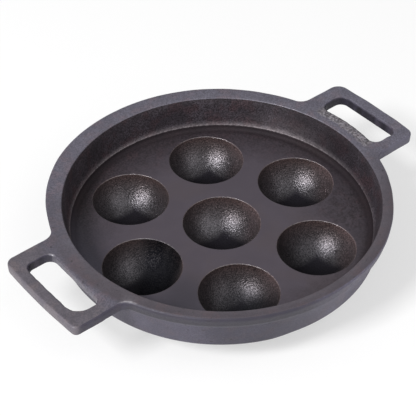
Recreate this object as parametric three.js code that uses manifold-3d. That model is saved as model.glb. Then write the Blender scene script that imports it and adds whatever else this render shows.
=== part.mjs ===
// Paniyaram pan: a heavy cast-iron pan with seven round cups sunk into its floor and two flat loop
// handles level with its rim. Millimetres, +Z up. The origin lies on the surface that the pan stands on,
// under the middle of the rim, and +X runs along the handles.
//
// The real pan is one sand casting with a turned floor and a ground rim. Here each section of the casting
// is a solid of its own, and the sections meet face to face on flat planes: the cups hang from the
// underside of the floor plate, the side wall stands on the plate's edge where the turned floor stops,
// and each grip meets the two stubs of its handle root end to end.

import * as THREE from 'three';
import { mergeVertices } from 'three/addons/utils/BufferGeometryUtils.js';
import Module from 'manifold-3d';

const wasm = await Module();
wasm.setup();

// Cups: a spherical hollow with a wall of even thickness, ground flat where it stands.
const RING_CUPS = 6;
const CUP_MOUTH = 50;
const CUP_DEPTH = 21;
const CUP_WALL = 5.5;
const CUP_LIP_RADIUS = 0.5;
const FOOT_DIAMETER = 14;
const DOME_FILLET = 3;
const DOME_GAP = 2.1;

// Floor plate: turned smooth on top, out into the fillet at the foot of the wall.
const PLATE_THICKNESS = 6.5;
const FLOOR_MARGIN = 8.44;
const TURNED_CORNER = 1.2;
const TURNED_STEP = 4;
const BASE_CORNER = 4;

// Side wall and rim. The wall leans outwards on both faces so that the pattern leaves the sand.
const PAN_DEPTH = 24;
const RIM_WIDTH = 8.8;
const INSIDE_DRAFT_DEG = 8.5;
const OUTSIDE_DRAFT_DEG = 14;
const WALL_FILLET = 9;
const RIM_INNER_EDGE = 1;
const RIM_OUTER_EDGE = 1.5;

// The inside half of the mould sat this far off the outside half, so the rim is wider on the +Y side, and
// it was turned a little, so the row of cups isn't quite in line with the handles.
const MOULD_SHIFT_Y = -2.3;
const MOULD_TURN_DEG = -0.86;

// Handles: a flat loop whose top is flush with the rim, around a slot for the fingers. Both sit a little
// to the -Y side of the middle, and the slots a little more than the rest. Their ends are slightly bowed,
// with a sharper corner at the front, on the -Y side, than at the back.
const HANDLE_SHIFT_Y = -1.1;
const SLOT_SHIFT_Y = -1;
const SLOT_LENGTH = 52;
const SLOT_WIDTH = 18.5;
const SLOT_CORNER = 6;
const HANDLE_LAND = 3;
const HANDLE_BAR = 9;
const HANDLE_LEG = 10.3;
const FRONT_CORNER = 4;
const BACK_CORNER = 8;
const HANDLE_END_RADIUS = 450;
const HANDLE_THICKNESS = 6.2;
const HANDLE_EDGE = 1;
const ROOT_FILLET = 9;
const ROOT_OVERLAP = 4.5;

// How finely the round forms are faceted.
const RIM_FACETS = 72;
const CUP_FACETS = 32;
const BOWL_STEPS = 5;
const LIP_STEPS = 2;
const EDGE_STEPS = 3;
const CORNER_STEPS = 4;
const BEVEL_STEPS = 2;

// How close two corners are to count as one, and how far a cutting solid reaches past what it cuts.
const WELD = 1e-4;
const OVERCUT = 2;

const RIGHT_ANGLE = Math.PI / 2;
const INSIDE_DRAFT = THREE.MathUtils.degToRad(INSIDE_DRAFT_DEG);
const OUTSIDE_DRAFT = THREE.MathUtils.degToRad(OUTSIDE_DRAFT_DEG);
const MOULD_TURN = THREE.MathUtils.degToRad(MOULD_TURN_DEG);
const ACROSS = [1, 0, 0];

// The bowl is part of a sphere centred above the floor, and the dome around it shares that centre.
const mouthRadius = CUP_MOUTH / 2;
const bowlRadius = (mouthRadius ** 2 + CUP_DEPTH ** 2) / (2 * CUP_DEPTH);
const domeRadius = bowlRadius + CUP_WALL;
const footRadius = FOOT_DIAMETER / 2;
const sphereZ = Math.sqrt(domeRadius ** 2 - footRadius ** 2);

// Heights, from the feet up.
const bowlBottomZ = sphereZ - bowlRadius;
const floorZ = bowlBottomZ + CUP_DEPTH;
const undersideZ = floorZ - PLATE_THICKNESS;
const seamZ = floorZ + TURNED_STEP;
const rimZ = floorZ + PAN_DEPTH;

// Radii, from the cups outwards: the domes just clear each other, and the floor just holds the cups.
const domeDrop = sphereZ - undersideZ + DOME_FILLET;
const domeSpread = Math.sqrt((domeRadius + DOME_FILLET) ** 2 - domeDrop ** 2);
const cupPitch = 2 * domeSpread + DOME_GAP;
const ringRadius = Math.max(cupPitch, cupPitch / (2 * Math.sin(Math.PI / RING_CUPS)));
const turnedRadius = ringRadius + mouthRadius + FLOOR_MARGIN;
const filletStart = Math.asin(TURNED_STEP / WALL_FILLET - 1);
const filletRadius = turnedRadius - WALL_FILLET * Math.cos(filletStart);
const filletZ = floorZ + WALL_FILLET;
const rimInnerRadius = insideRadius(rimZ);
const rimRadius = rimInnerRadius + RIM_WIDTH;

// Lengths along the handle, outwards from the middle of the pan.
const slotStart = rimRadius + HANDLE_LAND;
const slotEnd = slotStart + SLOT_WIDTH;
const handleEnd = slotEnd + HANDLE_BAR;
const handleHalf = SLOT_LENGTH / 2 + HANDLE_LEG;
const gripSeam = slotStart + SLOT_CORNER;

// Radius of the cast inner face of the wall, above the fillet.
function insideRadius(z) {
  const slant = WALL_FILLET / Math.cos(INSIDE_DRAFT);
  return filletRadius + slant + (z - filletZ) * Math.tan(INSIDE_DRAFT);
}

// Radius of the outer face of the wall. Its line runs into the rounding of the rim's outer edge.
function outsideRadius(z) {
  const tangentRadius = rimRadius - RIM_OUTER_EDGE * (1 - Math.cos(OUTSIDE_DRAFT));
  const tangentZ = rimZ - RIM_OUTER_EDGE * (1 + Math.sin(OUTSIDE_DRAFT));
  return tangentRadius - (tangentZ - z) * Math.tan(OUTSIDE_DRAFT);
}

function point(radius, z) {
  return new THREE.Vector2(radius, z);
}

function arc(centreRadius, centreZ, radius, from, to, steps) {
  const points = [];
  for (let i = 0; i <= steps; i += 1) {
    const angle = THREE.MathUtils.lerp(from, to, i / steps);
    points.push(point(centreRadius + radius * Math.cos(angle), centreZ + radius * Math.sin(angle)));
  }
  return points;
}

// Part of the bowl's profile, between two heights, the lower one first.
function bowlArc(fromZ, toZ, steps) {
  const from = Math.asin((fromZ - sphereZ) / bowlRadius);
  const to = Math.asin((toZ - sphereZ) / bowlRadius);
  return arc(0, sphereZ, bowlRadius, from, to, steps);
}

// Joins corners that coincide and drops the triangles that collapse on the axis.
function weld(geometry) {
  geometry.deleteAttribute('normal');
  geometry.deleteAttribute('uv');
  const welded = mergeVertices(geometry, WELD);
  const corners = Array.from(welded.index.array);
  const kept = [];
  for (let i = 0; i < corners.length; i += 3) {
    const triangle = corners.slice(i, i + 3);
    if (new Set(triangle).size === triangle.length) {
      kept.push(...triangle);
    }
  }
  welded.setIndex(kept);
  return welded;
}

// Turns a profile of radius and height about the Z axis. It starts and ends on the axis, bottom first.
function revolve(profile, facets) {
  return weld(new THREE.LatheGeometry(profile, facets).rotateX(RIGHT_ANGLE));
}

function toSolid(geometry) {
  const mesh = new wasm.Mesh({
    numProp: 3,
    vertProperties: new Float32Array(geometry.attributes.position.array),
    triVerts: new Uint32Array(geometry.index.array),
  });
  return new wasm.Manifold(mesh);
}

function toGeometry(solid) {
  const mesh = solid.getMesh();
  const geometry = new THREE.BufferGeometry();
  geometry.setAttribute('position', new THREE.Float32BufferAttribute(mesh.vertProperties, mesh.numProp));
  geometry.setIndex(Array.from(mesh.triVerts));
  return geometry;
}

// Middles of the cups, from the middle of the floor: one there and the rest in a ring, two near the X axis.
function cupPlaces() {
  const places = [{ name: 'cup_centre', x: 0, y: 0 }];
  for (let i = 0; i < RING_CUPS; i += 1) {
    const angle = MOULD_TURN + i * 2 * Math.PI / RING_CUPS;
    places.push({
      name: `cup_${i + 1}`,
      x: ringRadius * Math.cos(angle),
      y: ringRadius * Math.sin(angle),
    });
  }
  return places;
}

// One cup: the dome with its ground foot, the fillet under the plate, the seat, and the bowl.
function cupGeometry() {
  const footAngle = Math.atan2(-sphereZ, footRadius);
  const filletAngle = Math.atan2(-domeDrop, domeSpread);
  const spreadZ = undersideZ - DOME_FILLET;
  const profile = [
    point(0, 0),
    ...arc(0, sphereZ, domeRadius, footAngle, filletAngle, BOWL_STEPS),
    ...arc(domeSpread, spreadZ, DOME_FILLET, filletAngle + Math.PI, RIGHT_ANGLE, EDGE_STEPS),
    ...bowlArc(bowlBottomZ, undersideZ, BOWL_STEPS).reverse(),
  ];
  return revolve(profile, CUP_FACETS);
}

// What a cup takes out of the floor plate: the bowl, its rounded lip, and the space above.
function cupMouth() {
  const lipZ = floorZ - CUP_LIP_RADIUS;
  const lipCentre = Math.sqrt((bowlRadius + CUP_LIP_RADIUS) ** 2 - (sphereZ - lipZ) ** 2);
  const lipAngle = Math.atan2(sphereZ - lipZ, -lipCentre);
  const lipFootZ = lipZ + CUP_LIP_RADIUS * Math.sin(lipAngle);
  const profile = [
    ...bowlArc(bowlBottomZ, undersideZ, BOWL_STEPS),
    ...bowlArc(undersideZ, lipFootZ, LIP_STEPS),
    ...arc(lipCentre, lipZ, CUP_LIP_RADIUS, lipAngle, RIGHT_ANGLE, LIP_STEPS),
    point(lipCentre, floorZ + OVERCUT),
    point(0, floorZ + OVERCUT),
  ];
  return revolve(profile, CUP_FACETS);
}

// The space inside the pan: the turned floor with its corner, the cast fillet, the wall and the rim's edge.
function panInside() {
  const corner = Math.min(TURNED_CORNER, TURNED_STEP);
  const edgeZ = rimZ - RIM_INNER_EDGE;
  const edgeRadius = insideRadius(edgeZ) + RIM_INNER_EDGE / Math.cos(INSIDE_DRAFT);
  const profile = [
    point(0, floorZ),
    ...arc(turnedRadius - corner, floorZ + corner, corner, -RIGHT_ANGLE, 0, CORNER_STEPS),
    ...arc(filletRadius, filletZ, WALL_FILLET, filletStart, -INSIDE_DRAFT, CORNER_STEPS),
    ...arc(edgeRadius, edgeZ, RIM_INNER_EDGE, Math.PI - INSIDE_DRAFT, RIGHT_ANGLE, EDGE_STEPS),
    point(edgeRadius, rimZ + OVERCUT),
    point(0, rimZ + OVERCUT),
  ];
  return revolve(profile, RIM_FACETS).translate(0, MOULD_SHIFT_Y, 0);
}

// The outside of the pan below the seam, as if it were solid iron.
function baseBlank() {
  const cornerZ = undersideZ + BASE_CORNER;
  const cornerRadius = outsideRadius(cornerZ) - BASE_CORNER / Math.cos(OUTSIDE_DRAFT);
  const profile = [
    point(0, undersideZ),
    ...arc(cornerRadius, cornerZ, BASE_CORNER, -RIGHT_ANGLE, -OUTSIDE_DRAFT, CORNER_STEPS),
    point(outsideRadius(seamZ), seamZ),
    point(0, seamZ),
  ];
  return revolve(profile, RIM_FACETS);
}

// The outside of the pan above the seam, as if it were solid iron.
function wallBlank() {
  const edgeZ = rimZ - RIM_OUTER_EDGE;
  const edgeRadius = rimRadius - RIM_OUTER_EDGE;
  const profile = [
    point(0, seamZ),
    point(outsideRadius(seamZ), seamZ),
    ...arc(edgeRadius, edgeZ, RIM_OUTER_EDGE, -OUTSIDE_DRAFT, RIGHT_ANGLE, EDGE_STEPS),
    point(0, rimZ),
  ];
  return revolve(profile, RIM_FACETS);
}

function fingerSlot() {
  const nearX = slotStart + SLOT_CORNER;
  const farX = slotEnd - SLOT_CORNER;
  const lowY = HANDLE_SHIFT_Y + SLOT_SHIFT_Y - SLOT_LENGTH / 2;
  const lowCornerY = lowY + SLOT_CORNER;
  const highCornerY = lowY + SLOT_LENGTH - SLOT_CORNER;
  const slot = new THREE.Path();
  slot.moveTo(nearX, lowY);
  slot.lineTo(farX, lowY);
  slot.absarc(farX, lowCornerY, SLOT_CORNER, -RIGHT_ANGLE, 0, false);
  slot.absarc(farX, highCornerY, SLOT_CORNER, 0, RIGHT_ANGLE, false);
  slot.absarc(nearX, highCornerY, SLOT_CORNER, RIGHT_ANGLE, 2 * RIGHT_ANGLE, false);
  slot.absarc(nearX, lowCornerY, SLOT_CORNER, 2 * RIGHT_ANGLE, 3 * RIGHT_ANGLE, false);
  return slot;
}

// Middle of the fillet between the round of the rim and a leg whose outer side lies along filletY.
function rootMiddle(filletY) {
  return point(Math.sqrt((rimRadius + ROOT_FILLET) ** 2 - filletY ** 2), filletY);
}

// One corner at the end of a handle: the middle of its round, and the angle at which the bowed end meets it.
function endCorner(corner) {
  const reach = HANDLE_END_RADIUS - corner;
  const offsetY = handleHalf - corner;
  const bow = Math.asin(offsetY / reach);
  return { bow, offsetY, x: handleEnd - HANDLE_END_RADIUS + reach * Math.cos(bow) };
}

// Plan of one handle: a loop whose legs run into the round of the rim by a fillet, with its root
// reaching a little way into the wall.
function handlePlan() {
  const low = rootMiddle(HANDLE_SHIFT_Y - handleHalf - ROOT_FILLET);
  const high = rootMiddle(HANDLE_SHIFT_Y + handleHalf + ROOT_FILLET);
  const lowTurn = Math.atan2(low.y, low.x);
  const highTurn = Math.atan2(high.y, high.x);
  const rootRadius = rimRadius - ROOT_OVERLAP;
  const endMiddleX = handleEnd - HANDLE_END_RADIUS;
  const front = endCorner(FRONT_CORNER);
  const back = endCorner(BACK_CORNER);
  const plan = new THREE.Shape();
  plan.absarc(low.x, low.y, ROOT_FILLET, Math.PI + lowTurn, RIGHT_ANGLE, true);
  plan.absarc(front.x, HANDLE_SHIFT_Y - front.offsetY, FRONT_CORNER, -RIGHT_ANGLE, -front.bow, false);
  plan.absarc(endMiddleX, HANDLE_SHIFT_Y, HANDLE_END_RADIUS, -front.bow, back.bow, false);
  plan.absarc(back.x, HANDLE_SHIFT_Y + back.offsetY, BACK_CORNER, back.bow, RIGHT_ANGLE, false);
  plan.absarc(high.x, high.y, ROOT_FILLET, -RIGHT_ANGLE, highTurn - Math.PI, true);
  plan.absarc(0, 0, rootRadius, highTurn, lowTurn, true);
  plan.closePath();
  plan.holes.push(fingerSlot());
  return plan;
}

// One whole handle on the +X side, with its edges rounded over.
function handleLoop() {
  const geometry = new THREE.ExtrudeGeometry(handlePlan(), {
    depth: HANDLE_THICKNESS - 2 * HANDLE_EDGE,
    bevelThickness: HANDLE_EDGE,
    bevelSize: HANDLE_EDGE,
    bevelOffset: -HANDLE_EDGE,
    bevelSegments: BEVEL_STEPS,
    curveSegments: CORNER_STEPS,
  });
  return weld(geometry.translate(0, 0, rimZ - HANDLE_THICKNESS + HANDLE_EDGE));
}

// A block that holds everything beyond the plane where the grip meets its root.
function gripSide() {
  const length = handleEnd - gripSeam + OVERCUT;
  const block = new THREE.BoxGeometry(length, 2 * handleHalf + OVERCUT, rimZ);
  return weld(block.translate(gripSeam + length / 2, HANDLE_SHIFT_Y, rimZ));
}

const castIron = { color: 0x4b484e, roughness: 0.62, metalness: 0.55 };
const turnedIron = { color: 0x524e55, roughness: 0.45, metalness: 0.6 };
const groundIron = { color: 0x625e67, roughness: 0.5, metalness: 0.6 };

function section(name, geometry, finish) {
  geometry.computeVertexNormals();
  const mesh = new THREE.Mesh(geometry, new THREE.MeshStandardMaterial(finish));
  mesh.name = name;
  return mesh;
}

const pan = new THREE.Group();

// The cups and the mouths that they need in the floor, all carried with the inside of the mould.
const places = cupPlaces();
const insideSections = new THREE.Group();
insideSections.position.y = MOULD_SHIFT_Y;
pan.add(insideSections);

const inside = toSolid(panInside());
let plate = toSolid(baseBlank()).subtract(inside);
for (const place of places) {
  const mouth = cupMouth().translate(place.x, place.y + MOULD_SHIFT_Y, 0);
  plate = plate.subtract(toSolid(mouth));
  const cup = section(place.name, cupGeometry(), castIron);
  cup.position.set(place.x, place.y, 0);
  insideSections.add(cup);
}
pan.add(section('floor_plate', toGeometry(plate), turnedIron));

// The handles: the grip beyond the seam is a section of its own, and the root belongs to the wall.
const loop = toSolid(handleLoop());
const beyondSeam = toSolid(gripSide());
const grip = loop.intersect(beyondSeam);
const root = loop.subtract(beyondSeam);
const wall = toSolid(wallBlank()).add(root).add(root.mirror(ACROSS)).subtract(inside);
pan.add(section('side_wall', toGeometry(wall), castIron));
pan.add(section('handle_right', toGeometry(grip), groundIron));
pan.add(section('handle_left', toGeometry(grip.mirror(ACROSS)), groundIron));

export default pan;
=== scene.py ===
import math

import bmesh
import bpy
from mathutils import Matrix, Vector, noise


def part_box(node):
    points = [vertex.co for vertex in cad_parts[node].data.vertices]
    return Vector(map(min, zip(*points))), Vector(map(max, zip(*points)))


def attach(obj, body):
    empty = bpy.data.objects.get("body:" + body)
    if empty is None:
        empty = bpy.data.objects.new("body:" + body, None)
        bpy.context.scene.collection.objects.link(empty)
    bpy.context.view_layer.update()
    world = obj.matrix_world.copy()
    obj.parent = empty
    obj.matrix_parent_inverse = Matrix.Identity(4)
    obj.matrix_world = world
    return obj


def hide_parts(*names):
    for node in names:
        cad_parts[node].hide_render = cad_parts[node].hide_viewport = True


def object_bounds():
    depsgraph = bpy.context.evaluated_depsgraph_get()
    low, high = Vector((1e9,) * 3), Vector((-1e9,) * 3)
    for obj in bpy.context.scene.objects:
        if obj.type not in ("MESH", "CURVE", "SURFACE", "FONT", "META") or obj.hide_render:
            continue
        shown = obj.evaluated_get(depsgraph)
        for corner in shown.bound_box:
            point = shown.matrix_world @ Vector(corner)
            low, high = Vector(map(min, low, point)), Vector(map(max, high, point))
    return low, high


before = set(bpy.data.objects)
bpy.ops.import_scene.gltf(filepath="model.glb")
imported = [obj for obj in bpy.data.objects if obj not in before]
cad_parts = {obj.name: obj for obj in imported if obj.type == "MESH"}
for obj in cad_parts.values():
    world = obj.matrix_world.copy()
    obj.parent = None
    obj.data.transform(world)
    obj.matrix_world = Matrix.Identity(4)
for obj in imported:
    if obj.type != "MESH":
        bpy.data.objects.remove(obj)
cad_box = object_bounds()

# The cups: seven half-round cups of grey iron, cast in one with the pan, one in the middle and six around it.
# Each has a soft lip at the floor, an even wall that bulges out below, and a foot ground flat to stand on.
# The bowls keep the grain of the sand and are black with baked-on oil.
MM = 0.001
cup_low, cup_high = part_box("cup_centre")
ring_low, ring_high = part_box("cup_1")
ring_middle = (ring_low + ring_high) / 2
inside_y = (cup_low.y + cup_high.y) / 2
ring_radius = math.hypot(ring_middle.x, ring_middle.y - inside_y)
ring_turn = math.atan2(ring_middle.y - inside_y, ring_middle.x)
ring_cups = 6
plate_thickness = 6.5 * MM
underside_z = cup_high.z
floor_z = underside_z + plate_thickness
foot_z = cup_low.z
cup_mouth = 50 * MM
cup_depth = 21 * MM
cup_wall = 5.5 * MM
lip_round = 0.5 * MM
dome_fillet = 3 * MM
dome_flat = 0.8 * MM
cup_facets = 72

bowl_radius = (cup_mouth ** 2 / 4 + cup_depth ** 2) / (2 * cup_depth)
bowl_bottom = floor_z - cup_depth
ball_z = bowl_bottom + bowl_radius
dome_radius = bowl_radius + cup_wall
lip_drop = ball_z - floor_z + lip_round
lip_radius = math.sqrt((bowl_radius + lip_round) ** 2 - lip_drop ** 2)
dome_drop = ball_z - underside_z + dome_fillet
dome_spread = math.sqrt((dome_radius + dome_fillet) ** 2 - dome_drop ** 2)


def arc(x, y, radius, start, end, steps):
    """Points on a round, from one angle to another in degrees, both ends included."""
    angles = [math.radians(start + (end - start) * i / steps) for i in range(steps + 1)]
    return [(x + radius * math.cos(a), y + radius * math.sin(a)) for a in angles]


def circle(radius, z, facets, middle_y=0.0):
    """A level ring of points."""
    return [(x, middle_y + y, z) for x, y in arc(0, 0, radius, 0, 360, facets)[:-1]]


def clamped(*values):
    """The least of some values, held between 0 and 1."""
    return max(0.0, min(1.0, *values))


def lay_ring(bm, points, wear_and_glint=0.0, soot_and_shade=0.0):
    """Puts points into the mesh and marks how bare and how black they are, from wear, soot, painted glints
    and painted shade, by one share or one for each.
    """
    layers = [bm.verts.layers.float.get(n) or bm.verts.layers.float.new(n) for n in ("wear_and_glint", "soot_and_shade")]
    ring = [bm.verts.new(p) for p in points]
    for layer, marks in zip(layers, (wear_and_glint, soot_and_shade)):
        for i, vert in enumerate(ring):
            vert[layer] = marks[i] if isinstance(marks, list) else marks
    return ring


def skin(bm, first, second, finish=0, closed=True):
    """Covers the gap between two rings, or two open rows, of as many points."""
    for i in range(len(first) if closed else len(first) - 1):
        j = (i + 1) % len(first)
        corners = list(dict.fromkeys((first[i], first[j], second[j], second[i])))
        if len(corners) > 2:
            bm.faces.new(corners).material_index = finish[i] if isinstance(finish, list) else finish


def pairs(ring):
    """Every point of a ring with the next one."""
    return zip(ring, ring[1:] + ring[:1])


def close(bm, ring, point):
    """Closes a ring over a single point on the axis."""
    tip = lay_ring(bm, [point])[0]
    for here, after in pairs(ring):
        bm.faces.new((here, after, tip))


def crease(bm, ring):
    """Keeps a ring of edges crisp."""
    for pair in pairs(ring):
        bm.edges.get(pair).smooth = False


def turn(bm, profile, facets, middle_y=0.0, finish=0, wear_and_glints=None):
    """Turns a profile of (radius, height) about an upright axis, and gives its rings back."""
    rings = []
    for i, (radius, z) in enumerate(profile):
        rings.append(lay_ring(bm, circle(radius, z, facets, middle_y), wear_and_glints[i] if wear_and_glints else 0.0))
        if i:
            skin(bm, rings[-2], rings[-1], finish)
    return rings


def put_in(name, data):
    """Puts an object with its data into the scene."""
    thing = bpy.data.objects.new(name, data)
    bpy.context.scene.collection.objects.link(thing)
    return thing


CREASE_ANGLE = math.radians(32)
SAME_POINT = 0.001 * MM


def make_piece(bm, name, finishes):
    """Turns a closed mesh into a piece: faces outwards, shaded smooth except over its creases."""
    bmesh.ops.remove_doubles(bm, verts=bm.verts, dist=SAME_POINT)
    bmesh.ops.recalc_face_normals(bm, faces=bm.faces)
    for face in bm.faces:
        face.smooth = True
    for edge in bm.edges:
        if edge.calc_face_angle(0) > CREASE_ANGLE:
            edge.smooth = False
    mesh = bpy.data.meshes.new(name)
    bm.to_mesh(mesh)
    bm.free()
    for finish in finishes:
        mesh.materials.append(finish)
    return put_in(name, mesh)


class Finish:
    """Node bench for one iron finish, on the piece's own coordinates. A look: tone, roughness and height."""

    def __init__(self, name):
        self.material = bpy.data.materials.new(name)
        self.material.use_nodes = True
        self.nodes, self.links = self.material.node_tree.nodes, self.material.node_tree.links
        self.shader = self.nodes["Principled BSDF"]
        self.place = self.nodes.new("ShaderNodeTexCoord").outputs["Object"]

    def feed(self, node, inputs):
        """Sets a node's sockets to numbers or colours, or links them to what other nodes give."""
        for name, value in inputs.items():
            if isinstance(value, bpy.types.NodeSocket):
                self.links.new(value, node.inputs[name])
            else:
                node.inputs[name].default_value = (*value, 1.0) if isinstance(value, tuple) else value

    def add(self, kind, inputs, **settings):
        """Adds a node with its settings, feeds it and gives its outputs back."""
        node = self.nodes.new("ShaderNode" + kind)
        for name, value in settings.items():
            setattr(node, name, value)
        self.feed(node, inputs)
        return node.outputs

    def speckle(self, size, detail=2.0, roughness=0.55):
        """Cloudy noise with specks of about one size."""
        inputs = {"Vector": self.place, "Scale": 1.0 / size, "Detail": detail, "Roughness": roughness}
        return self.add("TexNoise", inputs)["Fac"]

    def spread(self, value, low, high, to_low=0.0, to_high=1.0):
        """Spreads one range of a value over another, with soft ends."""
        inputs = {"Value": value, "From Min": low, "From Max": high, "To Min": to_low, "To Max": to_high}
        return self.add("MapRange", inputs, interpolation_type="SMOOTHSTEP")["Result"]

    def reckon(self, operation, first, second):
        """One step of arithmetic."""
        return self.add("Math", {0: first, 1: second}, operation=operation)["Value"]

    def overlap(self, share, *others):
        """Shares multiplied, for where all of them hold."""
        for other in others:
            share = self.reckon("MULTIPLY", share, other)
        return share

    def either(self, first, second):
        """The greater of two shares, for where one or the other holds."""
        return self.reckon("MAXIMUM", first, second)

    def blend(self, share, first, second):
        """Mixes two colours, or two values, by a share."""
        factor, first_colour, second_colour, mixed_colour = 0, 6, 7, 2
        inputs = {factor: share, first_colour: first, second_colour: second}
        return self.add("Mix", inputs, data_type="RGBA")[mixed_colour]

    def cover(self, share, look, over):
        """Lays one look over another by a share."""
        return [self.blend(share, a, b) for a, b in zip(look, over)]

    def tint(self, share, look, colour):
        """Changes the colour alone of a look by a share."""
        return [self.blend(share, look[0], colour), *look[1:]]

    def mark(self, name):
        """A mark that the mesh carries on its points."""
        return self.add("Attribute", {}, attribute_name=name)["Fac"]

    def measure(self, operation, vector, other=(0.0, 0.0, 0.0)):
        """One step of arithmetic on a place or direction."""
        outputs = self.add("VectorMath", {0: vector, 1: Vector(other)}, operation=operation)
        return outputs["Value" if operation in ("LENGTH", "DOT_PRODUCT") else "Vector"]

    def from_axis(self, x, y):
        """Distance from an upright axis."""
        apart = self.measure("SUBTRACT", self.place, (x, y, 0.0))
        return self.measure("LENGTH", self.measure("MULTIPLY", apart, (1.0, 1.0, 0.0)))

    def around(self, x, y, inner, outer, share=1.0):
        """A round patch about an upright axis: full within one radius, gone beyond another."""
        return self.spread(self.from_axis(x, y), inner, outer, share, 0.0)

    def beyond(self, direction, start, end, before=0.0, after=1.0):
        """A share that changes between two distances from the middle of the pan in one direction."""
        return self.spread(self.measure("DOT_PRODUCT", self.place, direction), start, end, before, after)

    def iron(self, grain, dark, light, brown, browned, pit, pits, rough, relief, patch=9 * MM, holes=0.0):
        """One look of the iron: cloudy between two tones, browned all over or in patches, pitted by sand."""
        cloud_size, hole_size, hole_colour = 16 * MM, 2.6 * MM, (0.016, 0.014, 0.017)
        fine = self.speckle(grain, 2.0, 0.6)
        tone = self.blend(self.spread(self.speckle(cloud_size, 4.0), 0.35, 0.65), dark, light)
        if patch:
            browned = self.overlap(self.spread(self.speckle(patch, 3.0), 0.46, 0.66), browned)
        tone = self.blend(browned, tone, brown)
        pitted = self.overlap(self.spread(self.speckle(0.8 * grain, 1.0), 0.36, 0.64), pits)
        tone = self.blend(pitted, tone, pit)
        if holes:
            sand_holes = self.spread(self.speckle(hole_size, 0.0), 0.78, 0.82, 0.0, holes)
            tone = self.blend(sand_holes, tone, hole_colour)
        return tone, self.spread(fine, 0.3, 0.7, *rough), self.reckon("MULTIPLY", fine, relief)

    def done(self, tone, rough, height, bare_and_glint, metal, soot_and_shade_colour=(0.019, 0.017, 0.023)):
        """Blackens the places of soot and painted shade, brightens the worn edges and painted glints to bare
        iron, and joins everything to the shader.
        """
        rub_size = 2.0 * MM
        patchy = self.spread(self.speckle(rub_size, 3.0), 0.36, 0.62, 0.45, 1.0)
        tone = self.blend(self.mark("soot_and_shade"), tone, soot_and_shade_colour)
        tone = self.blend(self.overlap(self.mark("wear_and_glint"), patchy), tone, bare_and_glint)
        normal = self.add("Bump", {"Strength": 1.0, "Distance": 1.0, "Height": height})["Normal"]
        inputs = {"Base Color": tone, "Roughness": rough, "Metallic": metal, "Normal": normal}
        self.feed(self.shader, inputs)
        return self.material


first_cup = math.degrees(ring_turn)
ring_places = arc(0, inside_y, ring_radius, first_cup, first_cup + 360, ring_cups)[:-1]

# Baked oil: nearly black, grainy and half metal, brown at the lip, and reddish on the right, where it is also
# painted lighter as painted light on the flank that faces the key lamp.
bench = Finish("oiled_black")
red_and_lit_side = bench.overlap(bench.mark("reddish_and_lit"), bench.beyond((0.5, -0.866, 0.0), -50 * MM, 0.0))
oil_tone, oil_rough, oil_height = bench.iron(
    grain=0.95 * MM, dark=(0.102, 0.097, 0.107), light=(0.150, 0.143, 0.157),
    brown=bench.blend(red_and_lit_side, (0.116, 0.078, 0.076), (0.36, 0.25, 0.255)),
    browned=bench.either(bench.mark("browned"), red_and_lit_side), pit=(0.012, 0.011, 0.013), pits=0.68,
    rough=(0.26, 0.42), relief=0.31 * MM, patch=0.0)
oil_metal = bench.spread(bench.mark("browned"), 0.0, 1.0, 0.85, 0.45)
# Colour of the painted shade in the bowls.
bowl_shade_colour = (0.026, 0.0235, 0.031)
# Painted shade for some cups: near black and rough, with the grain showing through it.
shade_black, shade_rough = (0.010, 0.010, 0.013), (0.75, 0.75, 0.75)
spot_grain = bench.spread(bench.speckle(0.85 * MM, 1.0), 0.42, 0.68, 1.0, 0.7)

# Where some cups have painted shade, darker and rougher, that hides the key lamp's highlight: cup, place from
# its middle, full and outer radius in mm, and how much.
shaded_cup_spots = (
    (4, 6, -5, 9, 19, 1.0), (4, 20, -3, 5, 14, 0.95), (4, 13, 3, 3, 14, 0.75), (4, 17, 9, 4, 18, 1.0),
    (4, 0, 0, 25, 30, 0.2), (6, -2, 8, 11, 22, 0.42), (5, 0, 0, 25, 30, 0.12), (5, 2.7, 1.7, 9, 18, 0.66),
    (5, 6.5, -9.3, 9, 18, 0.85))
for cup, aside_x, aside_y, inner, outer, share in shaded_cup_spots:
    x, y = ring_places[cup - 1]
    spot = bench.around(x + aside_x * MM, y + aside_y * MM, inner * MM, outer * MM, share)
    spot = bench.overlap(spot, spot_grain)
    oil_tone, bowl_shade_colour = [bench.blend(spot, colour, shade_black) for colour in (oil_tone, bowl_shade_colour)]
    oil_rough = bench.blend(bench.overlap(spot, 0.6), oil_rough, shade_rough)
    oil_metal = bench.either(oil_metal, spot)
below = bench.mark("outside")
sandy = bench.iron(
    grain=1.1 * MM, dark=(0.040, 0.036, 0.050), light=(0.056, 0.050, 0.068),
    brown=(0.064, 0.050, 0.062), browned=0.6, pit=(0.030, 0.027, 0.034), pits=0.6,
    rough=(0.50, 0.62), relief=0.14 * MM)
look = bench.cover(below, (oil_tone, oil_rough, oil_height), sandy)
oiled_black = bench.done(
    *look, bare_and_glint=(0.36, 0.335, 0.36), metal=bench.blend(below, oil_metal, (0.15, 0.15, 0.15)), soot_and_shade_colour=bowl_shade_colour)

lip_tilt = math.degrees(math.asin(lip_drop / (bowl_radius + lip_round)))
fillet_tilt = math.degrees(math.asin(dome_drop / (dome_radius + dome_fillet)))
foot_tilt = math.degrees(math.asin((ball_z - foot_z) / dome_radius))
bowl_steps, round_steps, dome_steps = 22, 6, 12
bowl = arc(0, ball_z, bowl_radius, -90, -lip_tilt, bowl_steps)[1:-1]
lip = arc(lip_radius, floor_z - lip_round, lip_round, 180 - lip_tilt, 90, round_steps)
lip_edge = lip[-1]
dome_edge = (dome_spread + dome_flat, underside_z)
fillet = arc(dome_spread, underside_z - dome_fillet, dome_fillet, 90, 180 - fillet_tilt, round_steps)
dome = [dome_edge] + fillet + arc(0, ball_z, dome_radius, -fillet_tilt, -foot_tilt, dome_steps)[1:]
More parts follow.
